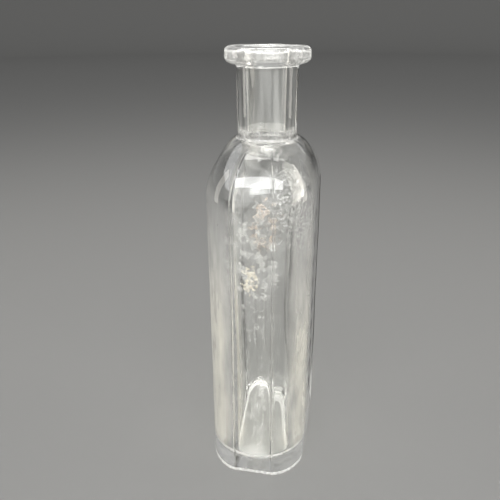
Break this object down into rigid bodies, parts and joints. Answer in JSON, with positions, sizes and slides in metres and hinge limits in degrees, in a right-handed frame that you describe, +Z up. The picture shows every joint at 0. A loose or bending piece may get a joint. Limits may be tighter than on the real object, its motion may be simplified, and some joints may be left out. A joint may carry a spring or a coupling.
{
  "type": "medicine bottle",
  "caption": "Small oblong clear-glass medicine bottle with flat panels, rounded shoulders, a round neck and a laid-on lip, open, with dried residue inside one end.",
  "frame": {"origin": "centre of the base, on the surface the bottle stands on", "axes": "+Z up the neck, +X along the bottle's width, +Y along its depth, through the broad faces"},
  "size_m": [0.054, 0.0348, 0.15],
  "materials": {
    "clear_glass": "clear blown glass, faintly grey-green, fire-polished",
    "lip_glass": "clear hand-tooled glass, slightly uneven",
    "cream_crust": "dull flaking dried residue",
    "brown_stain": "dull thin dried residue",
    "white_haze": "dull speckled dried residue"
  },
  "bodies": {
    "root": {"glass_vessel": "clear_glass", "laid_on_lip": "lip_glass", "residue_cream_crust": "cream_crust", "residue_brown_ring": "brown_stain", "residue_shoulder_haze": "white_haze"}
  },
  "joints": []
}
